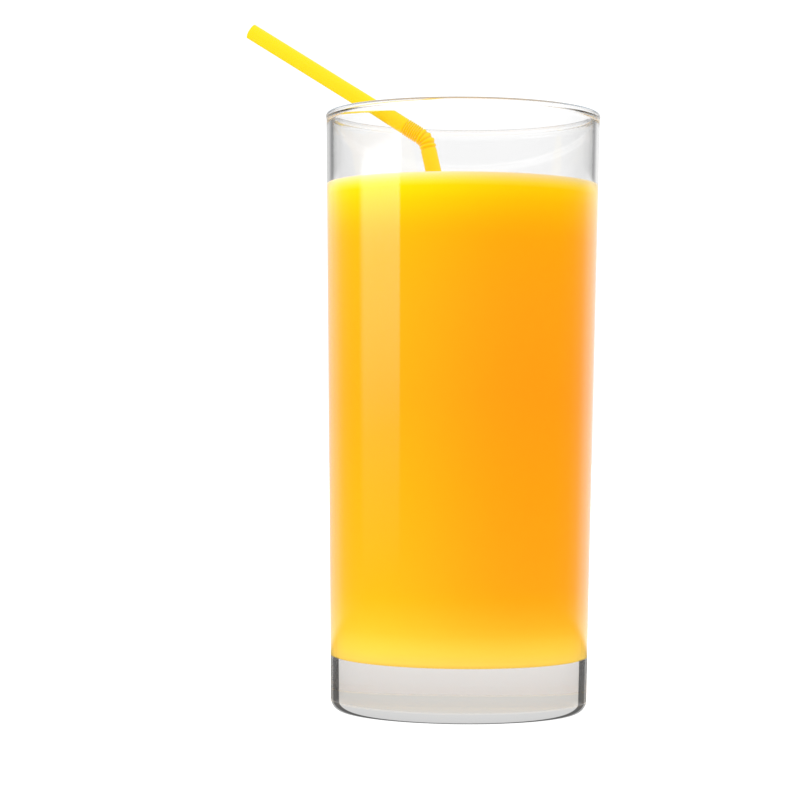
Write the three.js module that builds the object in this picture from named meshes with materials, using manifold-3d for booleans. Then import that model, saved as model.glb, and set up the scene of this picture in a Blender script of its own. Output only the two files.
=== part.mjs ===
// A tall straight glass of juice with a bendy straw.
// Millimetres, +Z up. The origin is the centre of the glass's flat foot.
import * as THREE from 'three';
import { mergeVertices } from 'three/addons/utils/BufferGeometryUtils.js';
import Module from 'manifold-3d';

const wasm = await Module();
wasm.setup();

// Glass: a tapered tumbler with a thick solid base and a fire-polished lip
const GLASS_HEIGHT = 152;
const RIM_RADIUS = 35;
const FOOT_RADIUS = 32.5;
const WALL = 1.45;
const BASE_THICKNESS = 13;
const FOOT_ROUND = 3;
const CAVITY_ROUND = 11;
const LIP_BEAD = 0.85;
const GLASS_SIDES = 72;

// Juice: filled to a level, climbing the wall in a small meniscus
const JUICE_LEVEL = 132.6;
const MENISCUS_RISE = 1.4;
const MENISCUS_REACH = 4.5;
const GAP = 0.3;

// Straw: a thin moulded tube, its leg standing in the juice and its arm laid over the far rim
const STRAW_RADIUS = 2.12;
const STRAW_WALL = 0.3;
const STRAW_SIDES = 20;
const ELBOW = new THREE.Vector3(-9.8, 24.9, 148.3);
const LEG_LENGTH = 138.8;
const LEG_LEAN = 14.9;
const LEG_HEADING = -28.5;
const ARM_LENGTH = 56.6;
const ARM_RISE = 31.9;
const ARM_HEADING = 171.2;
const BEND_RADIUS = 3.6;

// Bellows of the bend: ribs lie tight on the arm's side and stand apart in the bend itself
const RIB_HEIGHT = 0.15;
const GROOVE_DEPTH = 0.2;
const OPEN_RIBS = 4;
const OPEN_PITCH = 1.15;
const TIGHT_RIBS = 7;
const TIGHT_PITCH = 0.62;
const BELLOWS_BELOW_BEND = 1;

const ARC_STEPS = 5;

function outerRadius(z) {
  const top = RIM_RADIUS - LIP_BEAD + WALL / 2;
  return THREE.MathUtils.mapLinear(z, FOOT_ROUND, GLASS_HEIGHT, FOOT_RADIUS, top);
}

function cavityRadius(z) {
  return outerRadius(z) - WALL;
}

// Turns an outline of (radius, height) about the Z axis into a closed body.
function turned(outline, sides) {
  const geometry = new THREE.LatheGeometry(outline, sides);
  geometry.rotateX(Math.PI / 2);
  return welded(geometry);
}

// Merges shared corners and drops the slivers that an outline's end on the axis leaves.
function welded(geometry) {
  geometry.deleteAttribute('normal');
  geometry.deleteAttribute('uv');
  const merged = mergeVertices(geometry);
  const corners = merged.index.array;
  const kept = [];
  for (let i = 0; i < corners.length; i += 3) {
    const [a, b, c] = corners.subarray(i, i + 3);
    if (a !== b && b !== c && c !== a) kept.push(a, b, c);
  }
  merged.setIndex(kept);
  return merged;
}

function toSolid(geometry) {
  return new wasm.Manifold(new wasm.Mesh({
    numProp: 3,
    vertProperties: new Float32Array(geometry.attributes.position.array),
    triVerts: new Uint32Array(geometry.index.array),
  }));
}

function toGeometry(solid) {
  const mesh = solid.getMesh();
  const geometry = new THREE.BufferGeometry();
  geometry.setAttribute('position', new THREE.BufferAttribute(mesh.vertProperties, 3));
  geometry.setIndex(new THREE.BufferAttribute(mesh.triVerts, 1));
  return geometry;
}

function direction(heading, rise) {
  const polar = THREE.MathUtils.degToRad(90 - rise);
  const azimuth = THREE.MathUtils.degToRad(heading);
  return new THREE.Vector3(
    Math.sin(polar) * Math.cos(azimuth),
    Math.sin(polar) * Math.sin(azimuth),
    Math.cos(polar),
  );
}

// Glass
function glassOutline() {
  const lipCentre = new THREE.Vector2(RIM_RADIUS - LIP_BEAD, GLASS_HEIGHT - LIP_BEAD);
  const lipStart = Math.acos(WALL / 2 / LIP_BEAD);
  const roundTop = BASE_THICKNESS + CAVITY_ROUND;
  const floorRadius = cavityRadius(roundTop) - CAVITY_ROUND;
  const path = new THREE.Path();
  path.moveTo(0, 0);
  path.lineTo(FOOT_RADIUS - FOOT_ROUND, 0);
  path.absarc(FOOT_RADIUS - FOOT_ROUND, FOOT_ROUND, FOOT_ROUND, -Math.PI / 2, 0);
  path.absarc(lipCentre.x, lipCentre.y, LIP_BEAD, -lipStart, Math.PI + lipStart);
  path.lineTo(cavityRadius(roundTop), roundTop);
  path.absarc(floorRadius, roundTop, CAVITY_ROUND, 0, -Math.PI / 2, true);
  path.lineTo(0, BASE_THICKNESS);
  return path.getPoints(ARC_STEPS);
}

// Straw: drawn straight along its own length, then bent in the plane of its leg and arm
function strawRoute() {
  const up = direction(LEG_HEADING, LEG_LEAN - 90).negate();
  const along = direction(ARM_HEADING, ARM_RISE);
  const turn = up.angleTo(along);
  const side = new THREE.Vector3().crossVectors(up, along).normalize();
  const inward = new THREE.Vector3().crossVectors(side, up);
  const setback = BEND_RADIUS * Math.tan(turn / 2);
  const foot = ELBOW.clone().addScaledVector(up, -LEG_LENGTH);
  const bendStart = LEG_LENGTH - setback;
  const bendEnd = bendStart + BEND_RADIUS * turn;
  const length = bendEnd + ARM_LENGTH - setback;
  const armStart = ELBOW.clone().addScaledVector(along, setback);
  const centre = foot.clone().addScaledVector(up, bendStart).addScaledVector(inward, BEND_RADIUS);

  function place(across, beside, s) {
    const angle = THREE.MathUtils.clamp((s - bendStart) / BEND_RADIUS, 0, turn);
    const inner = inward.clone().applyAxisAngle(side, angle);
    const point = centre.clone().addScaledVector(inner, -BEND_RADIUS);
    if (s < bendStart) point.addScaledVector(up, s - bendStart);
    if (s > bendEnd) point.copy(armStart).addScaledVector(along, s - bendEnd);
    return point.addScaledVector(inner, across).addScaledVector(side, beside);
  }
  return { up, foot, bendStart, length, place };
}

// Crest and groove of each rib as (change of radius, place along the straw)
function bellows(bendStart) {
  const waves = [];
  let s = bendStart - BELLOWS_BELOW_BEND;
  for (let rib = 0; rib < OPEN_RIBS + TIGHT_RIBS; rib += 1) {
    const pitch = rib < OPEN_RIBS ? OPEN_PITCH : TIGHT_PITCH;
    waves.push([-GROOVE_DEPTH, s], [RIB_HEIGHT, s + pitch / 2]);
    s += pitch;
  }
  waves.push([-GROOVE_DEPTH, s]);
  return waves;
}

function strawGeometry(route) {
  const waves = bellows(route.bendStart);
  const shoulder = TIGHT_PITCH / 2;
  const skin = [
    [0, 0],
    [0, waves[0][1] - shoulder],
    ...waves,
    [0, waves.at(-1)[1] + shoulder],
    [0, route.length],
  ];
  const outside = skin.map(([rise, s]) => new THREE.Vector2(STRAW_RADIUS + rise, s));
  const bore = skin.map(([rise, s]) => new THREE.Vector2(STRAW_RADIUS - STRAW_WALL + rise, s));
  const loop = [...outside, ...bore.reverse(), outside[0]];
  const geometry = turned(loop, STRAW_SIDES);
  const position = geometry.attributes.position;
  for (let i = 0; i < position.count; i += 1) {
    const point = route.place(position.getX(i), position.getY(i), position.getZ(i));
    position.setXYZ(i, point.x, point.y, point.z);
  }
  return geometry;
}

// Juice
function juiceOutline() {
  const floor = BASE_THICKNESS + GAP;
  const round = CAVITY_ROUND - GAP;
  const roundTop = floor + round;
  const contact = JUICE_LEVEL + MENISCUS_RISE;
  const reach = cavityRadius(contact) - GAP;
  const floorRadius = cavityRadius(roundTop) - CAVITY_ROUND;
  const path = new THREE.Path();
  path.moveTo(0, floor);
  path.lineTo(floorRadius, floor);
  path.absarc(floorRadius, roundTop, round, -Math.PI / 2, 0);
  path.lineTo(reach, contact);
  path.quadraticCurveTo(reach - MENISCUS_REACH / 5, JUICE_LEVEL, reach - MENISCUS_REACH, JUICE_LEVEL);
  path.lineTo(0, JUICE_LEVEL);
  return path.getPoints(ARC_STEPS);
}

// The straight channel that the straw's leg takes through the juice
function legChannel(route) {
  const length = 2 * LEG_LENGTH;
  const radius = STRAW_RADIUS + GAP;
  const channel = welded(new THREE.CylinderGeometry(radius, radius, length, STRAW_SIDES));
  const upright = new THREE.Vector3(0, 1, 0);
  channel.applyQuaternion(new THREE.Quaternion().setFromUnitVectors(upright, route.up));
  channel.translate(route.foot.x, route.foot.y, route.foot.z);
  return channel;
}

function juiceGeometry(route) {
  const body = toSolid(turned(juiceOutline(), GLASS_SIDES));
  return toGeometry(body.subtract(toSolid(legChannel(route))));
}

function named(name, geometry, material) {
  const mesh = new THREE.Mesh(geometry, material);
  mesh.name = name;
  return mesh;
}

const glassClear = new THREE.MeshStandardMaterial({
  color: 0xf2f6f6, roughness: 0.04, metalness: 0, transparent: true, opacity: 0.3,
});
const juiceYellow = new THREE.MeshStandardMaterial({ color: 0xffb414, roughness: 0.35, metalness: 0 });
const strawYellow = new THREE.MeshStandardMaterial({ color: 0xfee526, roughness: 0.4, metalness: 0 });

const route = strawRoute();
const drink = new THREE.Group();
drink.name = 'drink';
drink.add(named('glass', turned(glassOutline(), GLASS_SIDES), glassClear));
drink.add(named('juice', juiceGeometry(route), juiceYellow));
drink.add(named('straw', strawGeometry(route), strawYellow));

export default drink;
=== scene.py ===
"""A tall glass of juice with a bendy straw, dressed for a product picture.

Lengths in the named values are millimetres, and MM turns them into Blender's metres.
The origin is the centre of the glass's foot, +Z is up and the picture is taken from -Y.
"""
import math

import bpy
from mathutils import Matrix, Vector


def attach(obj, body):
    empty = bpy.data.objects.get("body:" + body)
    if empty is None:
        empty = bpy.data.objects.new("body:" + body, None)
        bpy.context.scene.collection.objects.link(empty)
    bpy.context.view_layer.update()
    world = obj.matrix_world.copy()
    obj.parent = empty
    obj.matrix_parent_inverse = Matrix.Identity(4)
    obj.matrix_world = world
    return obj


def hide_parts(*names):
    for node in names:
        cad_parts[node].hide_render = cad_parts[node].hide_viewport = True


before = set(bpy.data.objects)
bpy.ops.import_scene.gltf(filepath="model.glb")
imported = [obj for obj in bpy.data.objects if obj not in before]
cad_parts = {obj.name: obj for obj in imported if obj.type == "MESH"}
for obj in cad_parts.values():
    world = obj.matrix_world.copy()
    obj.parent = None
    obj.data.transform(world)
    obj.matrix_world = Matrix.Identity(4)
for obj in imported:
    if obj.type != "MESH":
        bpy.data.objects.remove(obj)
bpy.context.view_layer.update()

MM = 0.001

# Glass
GLASS_HEIGHT = 152.0
RIM_RADIUS = 35.0
FOOT_RADIUS = 32.5
WALL = 1.45
BASE_THICKNESS = 13.0
FOOT_ROUND = 3.0
CAVITY_ROUND = 11.0
LIP_BEAD = 0.85
GLASS_SIDES = 256
SHARP_ANGLE = 40.0

# Heights on the glass where its looks change
LIP_CROWN = GLASS_HEIGHT - 0.64 * LIP_BEAD
LIP_CREASE = GLASS_HEIGHT - 1.52 * LIP_BEAD
CREASE_DEPTH = 0.28
LIP_SOFTNESS = 0.1
BASE_TOP = BASE_THICKNESS + 1.2
EDGE_SOFTNESS = 0.3
WEAR_AND_GLOW_END = 3.2
WEAR_AND_GLOW_FULL = 2.4

# Painted glow of the worn foot and painted highlight on the lip's crown, given as emission, as (seen from
# outside, seen through the glass)
FOOT_LIGHT = (0.85, 1.08)
CROWN_LIGHT = (0.28, 0.0)
CROWN_HIGHLIGHT_COLOUR = (0.65, 0.83, 1.0, 1.0)

# Juice
JUICE_LEVEL = 132.6
MENISCUS_RISE = 1.4
MENISCUS_REACH = 1.3
CONTACT = JUICE_LEVEL + MENISCUS_RISE
THIN_START = JUICE_LEVEL + 0.4
INTO_WALL = 0.06
STRAW_MENISCUS_RISE = 0.7
STRAW_MENISCUS_REACH = 0.9
SURFACE_RINGS = 70
SURFACE_CROWDING = 1.6

# Painted glow, given as emission, in the cloudy juice near its base and its level, more of it on the left,
# and on its open surface
GLOW_COLOUR = (1.0, 0.45, 0.0, 1.0)
BASE_GLOW = 0.24
BASE_GLOW_TOP = 34.0
LEVEL_GLOW_START = 120.0
LEVEL_GLOW_FULL = 131.0
LEVEL_GLOW_LEFT = 0.17
LEVEL_GLOW_RIGHT = 0.08
LEVEL_GLOW_FADE = 26.0
SURFACE_GLOW = 0.3

# Straw
STRAW_RADIUS = 2.12
STRAW_WALL = 0.3
STRAW_BORE = STRAW_RADIUS - STRAW_WALL
STRAW_LIP = 0.08
STRAW_SIDES = 72
ELBOW = Vector((-9.8, 24.9, 148.3))
LEG_LENGTH = 138.8
LEG_LEAN = 14.9
LEG_HEADING = -28.5
LEG_STEPS = 24
ARM_LENGTH = 56.6
ARM_RISE = 31.9
ARM_HEADING = 171.2
ARM_STEPS = 12
BEND_RADIUS = 3.6

# Bellows of the bend
RIB_HEIGHT = 0.15
GROOVE_DEPTH = 0.2
OPEN_RIBS = 4
OPEN_PITCH = 1.15
TIGHT_RIBS = 7
TIGHT_PITCH = 0.62
RIB_STEPS = 10
BELLOWS_BELOW_BEND = 1.0
SHOULDER = 0.35
SHOULDER_FOOT = 0.8
SHOULDER_END = 1.0

# Camera, in the photograph's frame of 800 x 800 pixels
FRAME_PIXELS = 800
FOCAL_PIXELS = 2453.0
CAMERA_PLACE = Vector((0.0, -626.1, 72.46))
CAMERA_PITCH = 0.59
CAMERA_YAW = 1.42
CAMERA_ROLL = 0.47
SENSOR_WIDTH = 36.0

# Floor
FLOOR_HALF = 4000.0
FLOOR_DROP = 0.2
FLOOR_GREY = 0.9
FLOOR_GLOW = 0.1
FLOOR_SEEN_GLOW = 0.5

# Brightness of the studio where it is seen and where it lights, as (right, left)
SEEN_WHITE = 1.17
LIT_SIDES = (1.17, 1.05)

# Mirrored room, with angles in degrees to the left of the camera or above the level
ROOM_DARK = 0.02
CEILING_WHITE = 0.9
CEILING_EDGE = (8.5, 16.0)
SOFTBOX_START = 55.0
SOFTBOX_END = 90.0
SOFTBOX_EDGES = (2.5, 9.0)
SOFTBOX_RISE = 6.0
SOFTBOX_DIMMEST = 97.0
SOFTBOX_STRENGTHS = (3.2, 2.1)
BACKDROP_STEP = (5.05, 5.35)
BACKDROP_FADE = (8.0, 25.0)
BACKDROP_SIDES = (1.12, 0.82)
TABLE_GAP = (-7.0, -5.6)
TABLE_GAP_EDGES = (0.5, 0.4)
TABLE_GAP_DARK = 0.85

# Lights on the juice, as (strength, width, degrees to the left of the camera)
KEY = (1.0, 50.0, 75.0)
FILL = (0.35, 110.0, -165.0)
LIGHT_RISE = 5.0

# Light paths, of which clear glass needs many
BOUNCES = 24
SOFT_BOUNCES = 12


# Camera
def make_camera():
    pitch, yaw, roll = (math.radians(a) for a in (CAMERA_PITCH, CAMERA_YAW, CAMERA_ROLL))
    forward = Vector((-math.sin(yaw) * math.cos(pitch), math.cos(yaw) * math.cos(pitch), math.sin(pitch)))
    level = Vector((math.cos(yaw), math.sin(yaw), 0.0))
    upright = level.cross(forward)
    right = level * math.cos(roll) + upright * math.sin(roll)
    up = upright * math.cos(roll) - level * math.sin(roll)
    data = bpy.data.cameras.new("camera")
    data.sensor_width = SENSOR_WIDTH
    data.lens = SENSOR_WIDTH * FOCAL_PIXELS / FRAME_PIXELS
    camera = bpy.data.objects.new("camera", data)
    turn = Matrix((right, up, -forward)).transposed().to_4x4()
    camera.matrix_world = Matrix.Translation(CAMERA_PLACE * MM) @ turn
    bpy.context.scene.collection.objects.link(camera)
    bpy.context.scene.camera = camera


# Node trees
def grey(level):
    return (level, level, level, 1.0)


WHITE = grey(1.0)


class Tree:
    """Adds nodes to a material's or world's tree, with sockets or plain values as inputs."""

    def __init__(self, owner):
        owner.use_nodes = True
        self.tree = owner.node_tree
        self.tree.nodes.clear()

    def set(self, socket, value):
        if isinstance(value, bpy.types.NodeSocket):
            self.tree.links.new(value, socket)
        else:
            socket.default_value = value

    def add(self, kind, inputs=None, **settings):
        node = self.tree.nodes.new(kind)
        for name, value in settings.items():
            setattr(node, name, value)
        for key, value in (inputs or {}).items():
            self.set(node.inputs[key], value)
        return node

    def math(self, operation, *values, clamp=False):
        inputs = dict(enumerate(values))
        return self.add("ShaderNodeMath", inputs, operation=operation, use_clamp=clamp).outputs[0]

    def product(self, first, *others):
        for other in others:
            first = self.math("MULTIPLY", first, other)
        return first

    def rest(self, share):
        """What a share leaves of 1."""
        return self.math("SUBTRACT", 1.0, share)

    def ramp(self, value, low, high, smooth=True):
        """0 below low, 1 above high, and a soft step between them."""
        kind = "SMOOTHSTEP" if smooth else "LINEAR"
        inputs = {0: value, 1: low, 2: high, 3: 0.0, 4: 1.0}
        return self.add("ShaderNodeMapRange", inputs, interpolation_type=kind).outputs[0]

    def scaled(self, value, low, high, to_low, to_high):
        """Takes low to to_low and high to to_high, in a straight line between them."""
        inputs = {0: value, 1: low, 2: high, 3: to_low, 4: to_high}
        return self.add("ShaderNodeMapRange", inputs).outputs[0]

    def step_below(self, value, edge, softness):
        """1 below an edge and 0 above it."""
        return self.ramp(value, edge + softness, edge - softness)

    def band(self, value, start, end, soft_start, soft_end):
        """1 from start to end, with soft edges outside them."""
        rise = self.ramp(value, start - soft_start, start)
        fall = self.ramp(value, end, end + soft_end)
        return self.product(rise, self.rest(fall))

    def blend(self, factor, a, b):
        """Mixes two numbers."""
        return self.add("ShaderNodeMix", {0: factor, 2: a, 3: b}).outputs[0]

    def mix(self, factor, a, b, **settings):
        """Mixes two colours."""
        inputs = {0: factor, 6: a, 7: b}
        return self.add("ShaderNodeMix", inputs, data_type="RGBA", **settings).outputs[2]

    def colours(self, value, stops):
        """A colour ramp through (place, colour) stops in rising order."""
        node = self.add("ShaderNodeValToRGB", {0: value})
        elements = node.color_ramp.elements
        elements[0].position = stops[0][0]
        elements[1].position = stops[-1][0]
        for place, _ in stops[1:-1]:
            elements.new(place)
        for element, (_, colour) in zip(elements, stops):
            element.color = (*colour, 1.0)
        return node.outputs[0]

    def greys(self, value, stops):
        """A grey ramp through (place, level) stops in rising order."""
        return self.colours(value, tuple((place, (level, level, level)) for place, level in stops))

    def place(self):
        return self.add("ShaderNodeTexCoord").outputs["Object"]

    def noise(self, scale, detail=2.0, roughness=0.5):
        inputs = {"Vector": self.place(), "Scale": scale, "Detail": detail, "Roughness": roughness}
        return self.add("ShaderNodeTexNoise", inputs).outputs[0]

    def height(self):
        """Height above the table in millimetres."""
        z = self.add("ShaderNodeSeparateXYZ", {0: self.place()}).outputs[2]
        return self.product(z, 1 / MM)

    def across(self):
        """Distance to the right of the glass's axis in millimetres."""
        x = self.add("ShaderNodeSeparateXYZ", {0: self.place()}).outputs[0]
        return self.product(x, 1 / MM)

    def radius(self):
        """Distance from the glass's axis in millimetres."""
        flattened = {0: self.place(), 1: (1.0, 1.0, 0.0)}
        level = self.add("ShaderNodeVectorMath", flattened, operation="MULTIPLY").outputs[0]
        length = self.add("ShaderNodeVectorMath", {0: level}, operation="LENGTH").outputs["Value"]
        return self.product(length, 1 / MM)

    def bump(self, height, distance, strength=1.0):
        inputs = {"Strength": strength, "Distance": distance * MM, "Height": height}
        return self.add("ShaderNodeBump", inputs).outputs[0]


def material(name):
    made = bpy.data.materials.new(name)
    tree = Tree(made)
    shader = tree.add("ShaderNodeBsdfPrincipled")
    tree.add("ShaderNodeOutputMaterial", {"Surface": shader.outputs[0]})
    return made, tree, shader


# Glass's looks, where facing is 0 on a surface seen straight on and 1 on one seen edge on
def outer_side(tree, height):
    """1 on the outside of the wall and lip, 0 on their inside."""
    ends = (FOOT_ROUND, GLASS_HEIGHT)
    middle = tree.scaled(height, *ends, *(outer_radius(z) - WALL / 2 for z in ends))
    return tree.math("GREATER_THAN", tree.radius(), middle)


def wall_painted_edges(tree, height, facing, outer):
    """Painted shade: a thin dark line near each edge of the wall, standing in for dark surroundings seen
    through it, faint where juice stands behind it.
    """
    tint = tree.greys(facing, (
        (0.0, 0.96), (0.30, 0.95), (0.44, 0.90), (0.53, 0.93), (0.60, 0.87), (0.67, 0.82), (0.70, 0.52),
        (0.73, 0.85), (0.78, 0.95), (1.0, 0.97),
    ))
    tint = tree.mix(outer, grey(0.97), tint)
    filled = tree.step_below(height, CONTACT, EDGE_SOFTNESS)
    return tree.mix(tree.product(filled, 0.7), tint, WHITE)


def lip_painted_shade(tree, facing, crown):
    """Painted shade: dark on the crown of the lip, and light on the rest of it until it is seen edge on."""
    outside = tree.greys(facing, ((0.06, 1.0), (0.13, 0.5), (0.26, 0.08), (1.0, 0.02)))
    inside = tree.greys(facing, ((0.30, 1.0), (0.60, 0.75), (0.85, 0.20), (1.0, 0.02)))
    return tree.mix(crown, inside, outside)


def lip_crease_shade(tree, height, facing, outer):
    """1 in the crease where the lip meets the outside of the wall, towards the glass's edges, where a painted
    dark shade goes.
    """
    crease = tree.band(height, LIP_CREASE - CREASE_DEPTH, LIP_CREASE, LIP_SOFTNESS, LIP_SOFTNESS)
    return tree.product(crease, outer, tree.ramp(facing, 0.25, 0.46))


def base_painted_shade(tree, height, facing, inside):
    """The thick base: a painted grey shade, darker lower down, with painted dark upright bands near its
    edges.
    """
    limb = tree.greys(facing, ((0.0, 1.0), (0.640, 0.95), (0.658, 0.02), (0.80, 0.03), (0.85, 0.60)))
    limb = tree.mix(inside, limb, WHITE)
    depth = tree.colours(tree.math("DIVIDE", height, BASE_THICKNESS), (
        (0.0, (0.66, 0.66, 0.66)), (0.6, (0.70, 0.70, 0.69)), (1.0, (0.76, 0.74, 0.72)),
    ))
    return tree.mix(1.0, limb, depth, blend_type="MULTIPLY")


def glass_material():
    """Clear glass with painted shade: greyer where it is seen edge on and in the thick base, and frosted by
    wear on the foot, which also has a painted glow.
    """
    made, tree, shader = material("clear_glass")
    height = tree.height()
    facing = tree.add("ShaderNodeLayerWeight", {"Blend": 0.5}).outputs["Facing"]
    inside = tree.add("ShaderNodeNewGeometry").outputs["Backfacing"]
    outer = outer_side(tree, height)
    under_lip = tree.step_below(height, LIP_CREASE, LIP_SOFTNESS)
    under_crown = tree.step_below(height, LIP_CROWN, LIP_SOFTNESS)
    crown = tree.math("SUBTRACT", outer, under_crown, clamp=True)
    # Painted dark edge lines on the wall, and painted shade on the lip above its crease
    clear = tree.mix(under_lip, lip_painted_shade(tree, facing, crown), wall_painted_edges(tree, height, facing, outer))
    # Painted near-black shade in the lip's crease
    clear = tree.mix(lip_crease_shade(tree, height, facing, outer), clear, grey(0.02))

    # Painted grey shade of the thick base, with its painted dark edge bands
    base = base_painted_shade(tree, height, facing, inside)
    # The foot's mask: wear frosts it, and the same mask gives it a painted glow
    worn_and_glowing = tree.ramp(height, WEAR_AND_GLOW_END, WEAR_AND_GLOW_FULL)
    # Painted grey shade of the base, and a dark grey on the worn foot under its painted glow
    base_shade_and_wear = tree.mix(worn_and_glowing, base, grey(0.1))
    solid = tree.step_below(height, BASE_TOP, EDGE_SOFTNESS)
    tree.set(shader.inputs["Base Color"], tree.mix(solid, clear, base_shade_and_wear))
    tree.set(shader.inputs["Transmission Weight"], tree.rest(worn_and_glowing))

    # Painted glow on the frosted foot and a painted highlight on the crown of the lip, given as emission
    # though neither is a lamp
    foot_light = tree.product(worn_and_glowing, tree.blend(inside, *FOOT_LIGHT))
    crown_light = tree.product(crown, tree.ramp(facing, 0.08, 0.22), tree.blend(inside, *CROWN_LIGHT))
    tree.set(shader.inputs["Emission Color"], tree.mix(under_lip, CROWN_HIGHLIGHT_COLOUR, base))
    tree.set(shader.inputs["Emission Strength"], tree.math("ADD", foot_light, crown_light))

    smudge = tree.ramp(tree.noise(220.0, detail=4.0, roughness=0.6), 0.5, 0.8)
    tree.set(shader.inputs["Roughness"], tree.math("MAXIMUM", tree.product(smudge, 0.02), worn_and_glowing))
    tree.set(shader.inputs["Normal"], tree.bump(tree.noise(30.0, detail=1.0), 0.02, 0.3))
    shader.inputs["IOR"].default_value = 1.5
    return made


# Juice's looks
def juice_colour_and_light(tree):
    """Orange juice with painted light by height: pale where the surface thins out, yellow near the surface
    and the base, and orange between.
    """
    share = tree.ramp(tree.height(), BASE_THICKNESS, CONTACT, smooth=False)
    body = tree.colours(share, (
        (0.0, (1.0, 0.76, 0.160)),
        (0.03, (1.0, 0.685, 0.095)),
        (0.07, (1.0, 0.59, 0.048)),
        (0.14, (1.0, 0.585, 0.019)),
        (0.36, (1.0, 0.56, 0.012)),
        (0.56, (1.0, 0.535, 0.014)),
        (0.74, (1.0, 0.555, 0.014)),
        (0.87, (1.0, 0.575, 0.008)),
        (0.945, (1.0, 0.65, 0.003)),
        (0.973, (1.0, 0.735, 0.003)),
        (0.982, (1.0, 0.85, 0.070)),
        (0.988, (1.0, 0.88, 0.200)),
        (0.995, (1.0, 0.93, 0.420)),
        (1.0, (1.0, 0.97, 0.800)),
    ))
    clouds = tree.noise(35.0, detail=3.0)
    return tree.mix(tree.product(clouds, 0.06), body, (1.0, 0.62, 0.03, 1.0))


def juice_side_material():
    """Cloudy juice behind the wall, with a painted glow of emission standing in for light that comes in near
    its level and its base.
    """
    made, tree, shader = material("juice_behind_glass")
    # The juice's orange with painted light by height
    tree.set(shader.inputs["Base Color"], juice_colour_and_light(tree))
    height = tree.height()
    under = tree.product(tree.ramp(height, BASE_GLOW_TOP, BASE_THICKNESS + 1.0), BASE_GLOW)
    level_glow = tree.scaled(tree.across(), 0.0, LEVEL_GLOW_FADE, LEVEL_GLOW_LEFT, LEVEL_GLOW_RIGHT)
    above = tree.product(tree.ramp(height, LEVEL_GLOW_START, LEVEL_GLOW_FULL), level_glow)
    # Painted glow near the base and the level, stronger on the left
    tree.set(shader.inputs["Emission Strength"], tree.math("ADD", under, above))
    shader.inputs["Emission Color"].default_value = GLOW_COLOUR
    shader.inputs["Specular IOR Level"].default_value = 0.0
    tree.set(shader.inputs["Roughness"], tree.ramp(tree.noise(400.0), 0.0, 2.0))
    return made


def juice_top_material():
    """The open surface: cloudy with fine pulp, paler where it thins out up the wall and the straw, and with a
    painted glow of emission away from those thin edges.
    """
    made, tree, shader = material("juice_surface")
    pulp = tree.noise(180.0, detail=4.0, roughness=0.6)
    cloudy = tree.mix(pulp, (1.0, 0.48, 0.012, 1.0), (1.0, 0.57, 0.025, 1.0))
    thin = tree.ramp(tree.height(), THIN_START, CONTACT)
    tree.set(shader.inputs["Base Color"], tree.mix(thin, cloudy, (1.0, 0.93, 0.42, 1.0)))
    # Painted glow, which fades out where the surface thins
    tree.set(shader.inputs["Emission Strength"], tree.blend(thin, SURFACE_GLOW, 0.0))
    shader.inputs["Emission Color"].default_value = GLOW_COLOUR
    shader.inputs["IOR"].default_value = 1.35
    shader.inputs["Specular IOR Level"].default_value = 0.2
    tree.set(shader.inputs["Roughness"], tree.math("ADD", tree.ramp(tree.noise(300.0), 0.0, 5.0), 0.06))
    tree.set(shader.inputs["Normal"], tree.bump(tree.noise(900.0, detail=3.0), 0.05, 0.3))
    return made


# Straw's and floor's looks
def straw_material():
    """Thin dyed plastic, with painted shade making it darker and deeper in colour down in the grooves."""
    made, tree, shader = material("straw_plastic")
    streaks = tree.noise(60.0, detail=2.0)
    plain = tree.mix(streaks, (1.0, 0.765, 0.003, 1.0), (1.0, 0.82, 0.008, 1.0))
    groove = tree.add("ShaderNodeAttribute", attribute_name="groove").outputs["Fac"]
    # Painted shade down in the grooves
    tree.set(shader.inputs["Base Color"], tree.mix(groove, plain, (0.98, 0.60, 0.004, 1.0)))
    shader.inputs["IOR"].default_value = 1.45
    shader.inputs["Specular IOR Level"].default_value = 0.3
    tree.set(shader.inputs["Roughness"], tree.math("ADD", tree.ramp(tree.noise(500.0), 0.0, 6.0), 0.3))
    tree.set(shader.inputs["Normal"], tree.bump(tree.noise(400.0), 0.002, 0.3))
    return made


def floor_material():
    """Pale and matt, and lifted to the studio's white where the camera sees it."""
    made, tree, shader = material("floor")
    shader.inputs["Base Color"].default_value = grey(FLOOR_GREY)
    shader.inputs["Roughness"].default_value = 1.0
    shader.inputs["Specular IOR Level"].default_value = 0.0
    shader.inputs["Emission Color"].default_value = WHITE
    seen = tree.add("ShaderNodeLightPath").outputs["Is Camera Ray"]
    glow = tree.math("ADD", tree.product(seen, FLOOR_SEEN_GLOW), FLOOR_GLOW)
    tree.set(shader.inputs["Emission Strength"], glow)
    return made


# Outlines, as lists of (radius, height)
def arc(centre, radius, start, end, steps):
    points = []
    for i in range(steps + 1):
        a = math.radians(start + (end - start) * i / steps)
        points.append((centre[0] + radius * math.cos(a), centre[1] + radius * math.sin(a)))
    return points


def line(start, end, steps):
    """The points between two ends, without the ends."""
    shares = [i / steps for i in range(1, steps)]
    return [(start[0] + (end[0] - start[0]) * t, start[1] + (end[1] - start[1]) * t) for t in shares]


def outer_radius(z):
    top = RIM_RADIUS - LIP_BEAD + WALL / 2
    return FOOT_RADIUS + (top - FOOT_RADIUS) * (z - FOOT_ROUND) / (GLASS_HEIGHT - FOOT_ROUND)


def cavity_radius(z):
    return outer_radius(z) - WALL


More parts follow.
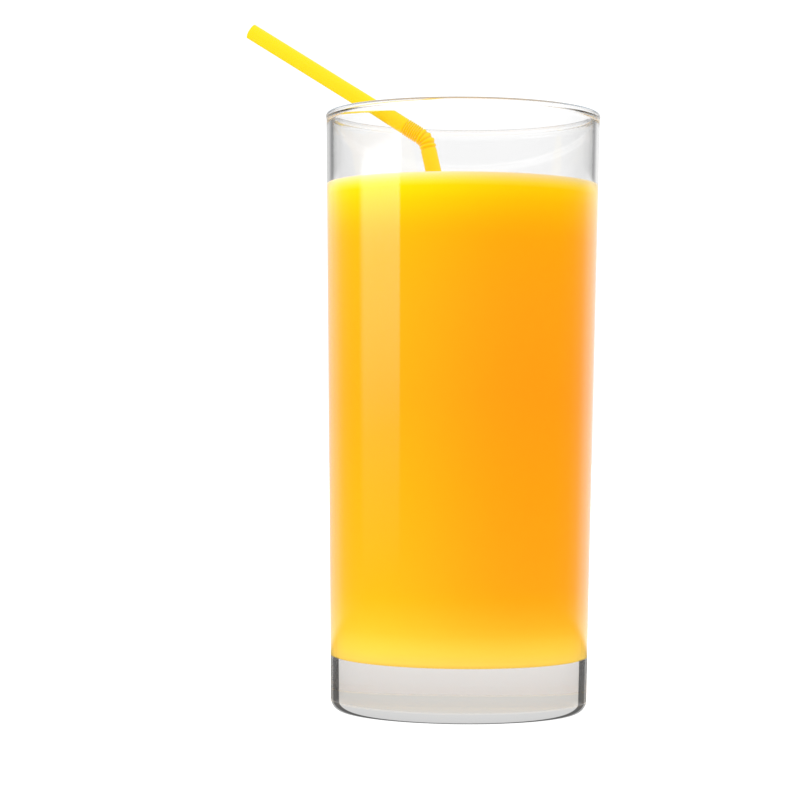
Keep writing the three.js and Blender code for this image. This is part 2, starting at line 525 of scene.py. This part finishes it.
def glass_outline():
    lip_start = math.degrees(math.acos(WALL / 2 / LIP_BEAD))
    round_top = BASE_THICKNESS + CAVITY_ROUND
    floor_radius = cavity_radius(round_top) - CAVITY_ROUND
    underside = (0.0, 0.0)
    cavity_floor = (0.0, BASE_THICKNESS)
    foot = arc((FOOT_RADIUS - FOOT_ROUND, FOOT_ROUND), FOOT_ROUND, -90, 0, 24)
    lip = arc((RIM_RADIUS - LIP_BEAD, GLASS_HEIGHT - LIP_BEAD), LIP_BEAD, -lip_start, 180 + lip_start, 40)
    corner = arc((floor_radius, round_top), CAVITY_ROUND, 0, -90, 36)
    return [
        underside, *line(underside, foot[0], 30), *foot, *line(foot[-1], lip[0], 90), *lip,
        *line(lip[-1], corner[0], 80), *corner, *line(corner[-1], cavity_floor, 20), cavity_floor,
    ]


# Meshes
def add_mesh(name, points, faces, materials):
    mesh = bpy.data.meshes.new(name)
    mesh.from_pydata([Vector(p) * MM for p in points], [], faces)
    for made in materials:
        mesh.materials.append(made)
    mesh.validate()
    mesh.shade_smooth()
    mesh.set_sharp_from_angle(angle=math.radians(SHARP_ANGLE))
    piece = bpy.data.objects.new(name, mesh)
    bpy.context.scene.collection.objects.link(piece)
    return piece


def turned(outline, sides, closed=False):
    """Points and faces of an outline turned about Z. An end on the axis becomes one point."""
    points = []
    rows = []
    for radius, z in outline:
        if radius == 0.0:
            rows.append([len(points)] * sides)
            points.append((0.0, 0.0, z))
            continue
        rows.append([len(points) + i for i in range(sides)])
        for i in range(sides):
            a = 2 * math.pi * i / sides
            points.append((radius * math.cos(a), radius * math.sin(a), z))
    if closed:
        rows.append(rows[0])
    faces = []
    for low, high in zip(rows, rows[1:]):
        for i in range(sides):
            j = (i + 1) % sides
            corners = [low[i], low[j], high[j], high[i]]
            faces.append(tuple(dict.fromkeys(corners)))
    return points, faces


def make_glass():
    points, faces = turned(glass_outline(), GLASS_SIDES)
    return add_mesh("tumbler", points, faces, [glass_material()])


# Straw's route: a straight leg, a tight bend and a straight arm
def direction(heading, rise):
    h, r = math.radians(heading), math.radians(rise)
    return Vector((math.cos(r) * math.cos(h), math.cos(r) * math.sin(h), math.sin(r)))


class Route:
    def __init__(self):
        self.up = -direction(LEG_HEADING, LEG_LEAN - 90)
        self.along = direction(ARM_HEADING, ARM_RISE)
        self.turn = self.up.angle(self.along)
        self.side = self.up.cross(self.along).normalized()
        self.inward = self.side.cross(self.up)
        setback = BEND_RADIUS * math.tan(self.turn / 2)
        self.foot = ELBOW - self.up * LEG_LENGTH
        self.bend_start = LEG_LENGTH - setback
        self.bend_end = self.bend_start + BEND_RADIUS * self.turn
        self.length = self.bend_end + ARM_LENGTH - setback
        self.arm_start = ELBOW + self.along * setback
        self.centre = self.foot + self.up * self.bend_start + self.inward * BEND_RADIUS

    def place(self, across, beside, s):
        """Where a point of the straight straw goes, at s along it and off its axis in two directions."""
        angle = min(max((s - self.bend_start) / BEND_RADIUS, 0.0), self.turn)
        inner = Matrix.Rotation(angle, 3, self.side) @ self.inward
        point = self.centre - inner * BEND_RADIUS
        if s < self.bend_start:
            point = self.foot + self.up * s
        if s > self.bend_end:
            point = self.arm_start + self.along * (s - self.bend_end)
        return point + inner * across + self.side * beside

    def leg_at(self, z):
        """Where the leg's axis passes a height."""
        return self.foot + self.up * ((z - self.foot.z) / self.up.z)


def straw_skin(route):
    """(change of radius, place along the straw) from its foot to its tip, with its ribs."""
    s = route.bend_start - BELLOWS_BELOW_BEND
    leg = [route.bend_start * i / LEG_STEPS for i in range(LEG_STEPS)]
    skin = [(0.0, place) for place in leg if place < s - SHOULDER_END]
    skin += [(0.0, s - SHOULDER_FOOT), (0.0, s - SHOULDER)]
    for rib in range(OPEN_RIBS + TIGHT_RIBS):
        pitch = OPEN_PITCH if rib < OPEN_RIBS else TIGHT_PITCH
        for i in range(RIB_STEPS):
            wave = 0.5 - 0.5 * math.cos(2 * math.pi * i / RIB_STEPS)
            skin.append((-GROOVE_DEPTH + (GROOVE_DEPTH + RIB_HEIGHT) * wave, s + pitch * i / RIB_STEPS))
        s += pitch
    skin += [(-GROOVE_DEPTH, s), (0.0, s + SHOULDER), (0.0, s + SHOULDER_FOOT)]
    arm = s + SHOULDER_END
    skin += [(0.0, arm + (route.length - arm) * i / ARM_STEPS) for i in range(ARM_STEPS + 1)]
    return skin


def straw_walls(skin):
    """The outside from foot to tip and the bore from tip to foot, as (radius, place), with rounded ends."""
    foot, tip = skin[0][1], skin[-1][1]
    outside = [(STRAW_RADIUS - STRAW_LIP, foot), (STRAW_RADIUS, foot + STRAW_LIP)]
    outside += [(STRAW_RADIUS + rise, s) for rise, s in skin[1:-1]]
    outside += [(STRAW_RADIUS, tip - STRAW_LIP), (STRAW_RADIUS - STRAW_LIP, tip)]
    bore = [(STRAW_BORE + STRAW_LIP, tip), (STRAW_BORE, tip - STRAW_LIP)]
    bore += [(STRAW_BORE + rise, s) for rise, s in reversed(skin[1:-1])]
    bore += [(STRAW_BORE, foot + STRAW_LIP), (STRAW_BORE + STRAW_LIP, foot)]
    return outside, bore


def groove_depths(wall, plain_radius):
    """0 on the plain tube and 1 at the bottom of a groove, for each point of a wall."""
    depths = []
    for radius, _ in wall:
        depth = min(max((plain_radius - radius) / GROOVE_DEPTH, 0.0), 1.0)
        depths += [depth] * STRAW_SIDES
    return depths


def make_straw(route):
    outside, bore = straw_walls(straw_skin(route))
    points, faces = turned([*outside, *bore], STRAW_SIDES, closed=True)
    straw = add_mesh("bendy_straw", [route.place(*p) for p in points], faces, [straw_material()])
    groove = straw.data.attributes.new("groove", "FLOAT", "POINT")
    depths = groove_depths(outside, STRAW_RADIUS) + groove_depths(bore, STRAW_BORE)
    groove.data.foreach_set("value", depths)
    straw.visible_glossy = False
    return straw


# Juice, reaching just into the wall
def juice_height(x, y, straw):
    """Height of the surface, which climbs the wall and the straw's leg."""
    wall = cavity_radius(JUICE_LEVEL) + INTO_WALL - math.hypot(x, y)
    rise = MENISCUS_RISE * math.exp(-max(wall, 0.0) / MENISCUS_REACH)
    gap = max(math.hypot(x - straw.x, y - straw.y) - STRAW_RADIUS, 0.0)
    return JUICE_LEVEL + rise + STRAW_MENISCUS_RISE * math.exp(-gap / STRAW_MENISCUS_REACH)


def juice_side_outline():
    round_top = BASE_THICKNESS + CAVITY_ROUND
    floor_radius = cavity_radius(round_top) - CAVITY_ROUND
    corner = arc((floor_radius, round_top), CAVITY_ROUND + INTO_WALL, -90, 0, 36)
    bottom = (0.0, corner[0][1])
    edge = (cavity_radius(CONTACT) + INTO_WALL, CONTACT)
    return [bottom, *line(bottom, corner[0], 12), *corner, *line(corner[-1], edge, 60), edge]


def make_juice(route):
    side = juice_side_outline()
    edge_radius = side[-1][0]
    shares = [1 - (i / SURFACE_RINGS) ** SURFACE_CROWDING for i in range(1, SURFACE_RINGS)]
    top = [(edge_radius * share, CONTACT) for share in shares] + [(0.0, CONTACT)]
    points, faces = turned(side + top, GLASS_SIDES)
    first_top = (len(side) - 1) * GLASS_SIDES + 1
    straw = route.leg_at(JUICE_LEVEL)
    for i in range(first_top, len(points)):
        x, y, _ = points[i]
        points[i] = (x, y, juice_height(x, y, straw))
    piece = add_mesh("juice_body", points, faces, [juice_side_material(), juice_top_material()])
    edge_ring = first_top - GLASS_SIDES
    for face in piece.data.polygons:
        face.material_index = int(min(face.vertices) >= edge_ring)
    return piece


# Stage
def make_floor():
    h, z = FLOOR_HALF, -FLOOR_DROP
    corners = [(-h, -h, z), (h, -h, z), (h, h, z), (-h, h, z)]
    floor = add_mesh("floor", corners, [(0, 1, 2, 3)], [floor_material()])
    floor.visible_glossy = False


def make_softbox(tree, left, rise):
    """A tall softbox on the left, brighter towards its top and dimmer towards the back."""
    tall = tree.greys(tree.scaled(rise, -SOFTBOX_RISE, SOFTBOX_RISE, 0.0, 1.0), (
        (0.07, 0.0), (0.36, 0.20), (0.475, 0.42), (0.59, 0.58), (0.70, 0.68), (0.82, 1.0), (0.89, 1.0),
        (0.94, 0.0),
    ))
    brightness = tree.scaled(left, SOFTBOX_START, SOFTBOX_DIMMEST, *SOFTBOX_STRENGTHS)
    return tree.product(tree.band(left, SOFTBOX_START, SOFTBOX_END, *SOFTBOX_EDGES), tall, brightness)


def make_backdrop(tree, left, rise):
    """The white backdrop behind the glass, narrower higher up, with a dark gap where it meets the table."""
    around = tree.math("DIVIDE", tree.math("ABSOLUTE", left), 180.0)
    backdrop = tree.greys(around, (
        (0.50, 0.02), (0.60, 0.10), (0.68, 0.33), (0.74, 0.80), (0.78, 1.0), (0.84, 1.0), (1.0, 0.9),
    ))
    higher = tree.greys(around, (
        (0.50, 0.0), (0.68, 0.25), (0.80, 0.28), (0.835, 0.32), (0.87, 0.72), (0.92, 0.84),
    ))
    backdrop = tree.blend(tree.ramp(rise, *BACKDROP_STEP), backdrop, higher)
    low = tree.rest(tree.ramp(tree.math("ABSOLUTE", rise), *BACKDROP_FADE))
    gap = tree.product(tree.band(rise, *TABLE_GAP, *TABLE_GAP_EDGES), TABLE_GAP_DARK)
    side = tree.scaled(left, -90.0, 90.0, *BACKDROP_SIDES)
    return tree.product(backdrop, tree.product(low, tree.rest(gap)), side)


def make_studio():
    """A white studio. What it shows depends on the kind of ray: what is seen, reflected or lit by it."""
    world = bpy.data.worlds.new("studio")
    bpy.context.scene.world = world
    tree = Tree(world)
    toward = tree.add("ShaderNodeTexCoord").outputs["Generated"]
    x, y, z = tree.add("ShaderNodeSeparateXYZ", {0: toward}).outputs
    degrees = 180 / math.pi
    left = tree.math("ARCTAN2", tree.product(x, -1.0), tree.product(y, -1.0))
    left = tree.product(left, degrees)
    rise = tree.product(tree.math("ARCSINE", z), degrees)

    # Reflected: a dark room with a softbox on the left, a white backdrop behind and a white ceiling
    ceiling = tree.product(tree.ramp(rise, *CEILING_EDGE), CEILING_WHITE)
    room = tree.math("MAXIMUM", make_backdrop(tree, left, rise), ceiling)
    room = tree.math("ADD", room, ROOM_DARK)
    reflected = tree.math("ADD", make_softbox(tree, left, rise), room)

    # Seen and lighting: white all round, a little brighter on the right where it lights
    lit = tree.scaled(left, -90.0, 90.0, *LIT_SIDES)
    path = tree.add("ShaderNodeLightPath").outputs
    lighting = tree.math("GREATER_THAN", path["Diffuse Depth"], 0.5)
    mirrored = tree.math("GREATER_THAN", path["Glossy Depth"], 0.5)
    strength = tree.blend(lighting, tree.blend(mirrored, SEEN_WHITE, reflected), lit)
    surface = tree.add("ShaderNodeBackground", {"Color": WHITE, "Strength": strength})
    tree.add("ShaderNodeOutputWorld", {"Surface": surface.outputs[0]})
    world.cycles.sampling_method = "NONE"


def make_lights(juice):
    """Soft lights from the left and from behind for the juice alone, which the glass doesn't stop."""
    lit = bpy.data.collections.new("lit")
    lit.objects.link(juice)
    for name, (strength, width, left) in {"key": KEY, "fill": FILL}.items():
        light = bpy.data.lights.new(name, "SUN")
        light.energy = strength
        light.angle = math.radians(width)
        lamp = bpy.data.objects.new(name, light)
        toward = direction(-90 - left, LIGHT_RISE)
        lamp.matrix_world = toward.to_track_quat("Z", "Y").to_matrix().to_4x4()
        lamp.light_linking.receiver_collection = lit
        lamp.light_linking.blocker_collection = lit
        bpy.context.scene.collection.objects.link(lamp)


def set_render():
    scene = bpy.context.scene
    scene.view_settings.view_transform = "Standard"
    scene.view_settings.look = "None"
    scene.cycles.max_bounces = BOUNCES
    scene.cycles.transmission_bounces = BOUNCES
    scene.cycles.glossy_bounces = SOFT_BOUNCES
    scene.cycles.diffuse_bounces = SOFT_BOUNCES
    scene.cycles.blur_glossy = 0.0


make_camera()
make_studio()
make_floor()
tumbler = make_glass()
straw_route = Route()
straw = make_straw(straw_route)
juice = make_juice(straw_route)
make_lights(juice)
set_render()

dressed = (
    (tumbler, "glass", "clear_glass"),
    (straw, "straw", "straw"),
    (juice, "juice", "juice"),
)
for piece, node, slot in dressed:
    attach(piece, "root")
    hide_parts(node)
